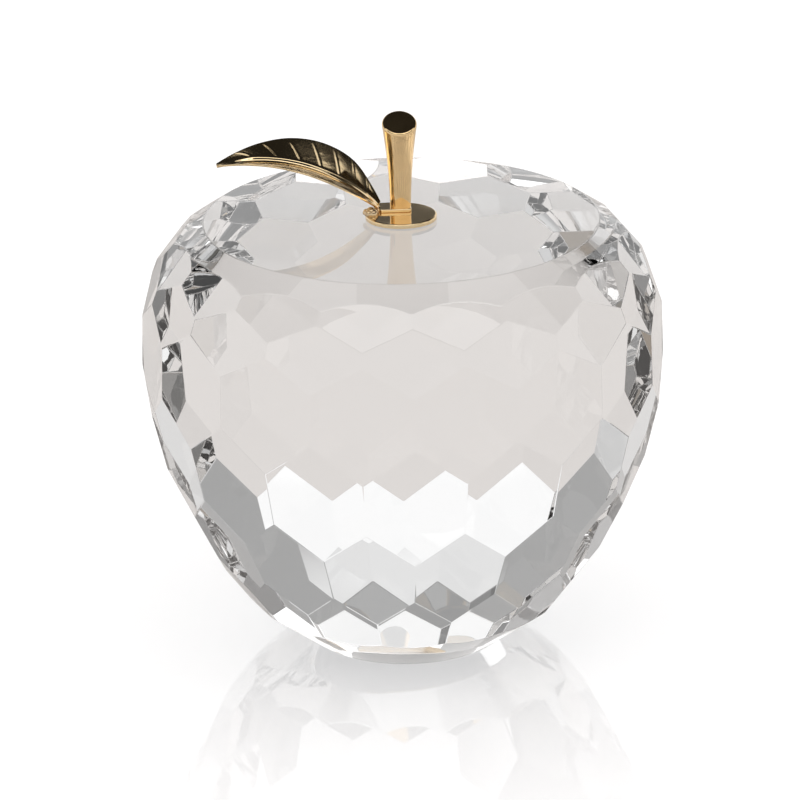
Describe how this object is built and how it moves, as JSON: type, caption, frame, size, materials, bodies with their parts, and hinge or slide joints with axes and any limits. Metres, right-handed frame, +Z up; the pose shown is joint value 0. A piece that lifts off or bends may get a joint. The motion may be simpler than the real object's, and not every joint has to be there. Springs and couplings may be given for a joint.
{
  "type": "faceted crystal apple paperweight",
  "caption": "Faceted clear glass apple with a flat polished table, a flared gold stem and an arched, veined gold leaf.",
  "frame": {"origin": "centre of the flat foot of the crystal, on the surface it stands on", "axes": "+Z up along the axis of the crystal, the leaf points to -X, the front of the picture is at -Y"},
  "size_m": [0.08, 0.08, 0.0829],
  "materials": {
    "crystal": "clear polished facets",
    "clear_adhesive": "clear gloss",
    "gold_disc": "polished gold plate",
    "gold_stem": "polished gold plate, fine lengthwise lines",
    "gold_leaf": "polished gold plate",
    "solder": "rough cast, gold plated"
  },
  "bodies": {
    "root": {"crystal_body": "crystal", "adhesive_film": "clear_adhesive", "base_disc": "gold_disc", "stem": "gold_stem", "leaf": "gold_leaf", "leaf_solder": "solder"}
  },
  "joints": []
}
